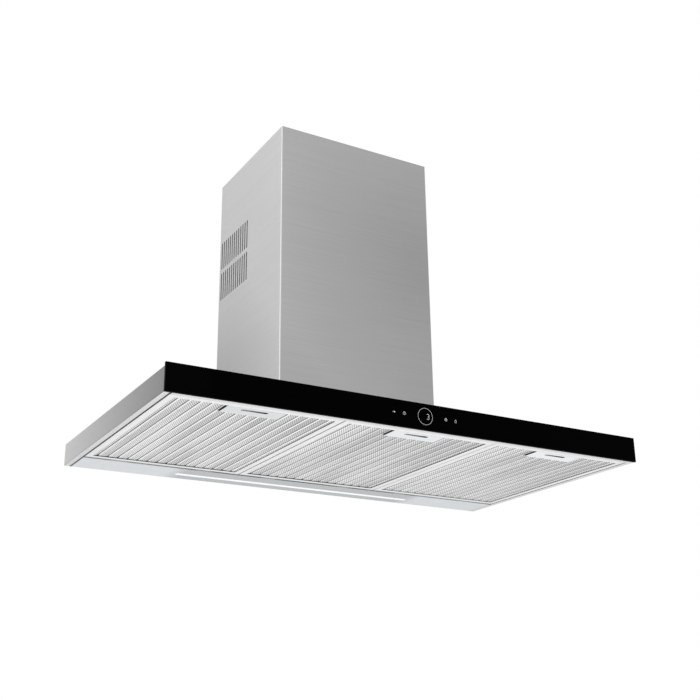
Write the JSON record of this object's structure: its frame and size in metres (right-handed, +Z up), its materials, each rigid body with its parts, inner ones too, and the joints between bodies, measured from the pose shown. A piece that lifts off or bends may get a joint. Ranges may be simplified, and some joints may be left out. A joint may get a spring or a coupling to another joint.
{
  "type": "wall chimney range hood",
  "caption": "Wall chimney range hood: flat steel canopy with a black glass front, lift-down grease filters, light strip, blower and a telescopic steel chimney.",
  "frame": {"origin": "middle of the two wall fixing holes, on the wall plane", "axes": "+X along the hood's width, +Y into the wall, +Z up; the glass front faces -Y"},
  "size_m": [0.9, 0.496, 0.632],
  "materials": {
    "canopy_steel": "fine brushed stainless steel",
    "black_glass": "polished black toughened glass",
    "dark_plastic": "fine textured moulding",
    "board_green": "solder mask",
    "light_guide": "milky translucent acrylic",
    "aluminium_channel": "extruded, satin",
    "filter_frame": "bright rolled sheet",
    "filter_mesh": "pressed expanded mesh",
    "galvanised": "zinc spangle",
    "spring_steel": "rolled strip",
    "grey_plastic": "moulded",
    "motor_steel": "drawn can",
    "capacitor_can": "moulded case"
  },
  "bodies": {
    "hood": {"blower_box": "galvanised", "cable_gland": "dark_plastic", "canopy_shell": "canopy_steel", "capacitor": "capacitor_can", "capacitor_clip": "galvanised", "chimney_curb": "galvanised", "chimney_lower": "canopy_steel", "control_housing": "dark_plastic", "damper_pin": "motor_steel", "display_module": "light_guide", "filter_seat_clips": "spring_steel", "front_glass": "black_glass", "inlet_bell_left": "grey_plastic", "inlet_bell_right": "grey_plastic", "led_board": "board_green", "led_channel": "aluminium_channel", "led_diffuser": "light_guide", "led_driver": "dark_plastic", "main_board": "board_green", "motor": "motor_steel", "motor_bracket": "galvanised", "outlet_adapter": "grey_plastic", "power_box": "dark_plastic", "power_box_lid": "dark_plastic", "rear_light_panel": "canopy_steel", "scroll_left": "grey_plastic", "scroll_right": "grey_plastic", "touch_board": "board_green", "wall_plate": "galvanised"},
    "sleeve": {"chimney_upper": "canopy_steel"},
    "flap_front": {"damper_flap_front": "grey_plastic"},
    "flap_rear": {"damper_flap_rear": "grey_plastic"},
    "filter_centre": {"filter_centre_frame": "filter_frame", "filter_centre_latch_guide": "galvanised", "filter_centre_latch_spring": "spring_steel", "filter_centre_mesh": "filter_mesh"},
    "latch_centre": {"filter_centre_latch": "filter_frame"},
    "filter_left": {"filter_left_frame": "filter_frame", "filter_left_latch_guide": "galvanised", "filter_left_latch_spring": "spring_steel", "filter_left_mesh": "filter_mesh"},
    "latch_left": {"filter_left_latch": "filter_frame"},
    "filter_right": {"filter_right_frame": "filter_frame", "filter_right_latch_guide": "galvanised", "filter_right_latch_spring": "spring_steel", "filter_right_mesh": "filter_mesh"},
    "latch_right": {"filter_right_latch": "filter_frame"},
    "fan": {"impeller": "grey_plastic", "motor_shaft": "motor_steel"}
  },
  "joints": [
    {"name": "filter_left_drop", "type": "hinge", "parent": "hood", "child": "filter_left", "pos_m": [-0.292, -0.07575, -0.30675], "axis": [1, 0, 0], "range_deg": [0, 70]},
    {"name": "latch_left_slide", "type": "slide", "parent": "filter_left", "child": "latch_left", "axis": [0, 1, 0], "range_m": [0, 0.005], "stiffness_N_per_m": 400, "springref_m": -0.005, "deforming": ["filter_left_latch_spring"]},
    {"name": "filter_centre_drop", "type": "hinge", "parent": "hood", "child": "filter_centre", "pos_m": [0, -0.07575, -0.30675], "axis": [1, 0, 0], "range_deg": [0, 70]},
    {"name": "latch_centre_slide", "type": "slide", "parent": "filter_centre", "child": "latch_centre", "axis": [0, 1, 0], "range_m": [0, 0.005], "stiffness_N_per_m": 400, "springref_m": -0.005, "deforming": ["filter_centre_latch_spring"]},
    {"name": "filter_right_drop", "type": "hinge", "parent": "hood", "child": "filter_right", "pos_m": [0.292, -0.07575, -0.30675], "axis": [1, 0, 0], "range_deg": [0, 70]},
    {"name": "latch_right_slide", "type": "slide", "parent": "filter_right", "child": "latch_right", "axis": [0, 1, 0], "range_m": [0, 0.005], "stiffness_N_per_m": 400, "springref_m": -0.005, "deforming": ["filter_right_latch_spring"]},
    {"name": "fan_spin", "type": "hinge", "parent": "hood", "child": "fan", "pos_m": [0, -0.134, -0.1454], "axis": [1, 0, 0], "continuous": true},
    {"name": "flap_front_open", "type": "hinge", "parent": "hood", "child": "flap_front", "pos_m": [0, -0.084, 0.031], "axis": [-1, 0, 0], "range_deg": [0, 75]},
    {"name": "flap_rear_open", "type": "hinge", "parent": "hood", "child": "flap_rear", "pos_m": [0, -0.084, 0.031], "axis": [1, 0, 0], "range_deg": [0, 75]},
    {"name": "chimney_extend", "type": "slide", "parent": "hood", "child": "sleeve", "axis": [0, 0, 1], "range_m": [0, 0.3]}
  ]
}
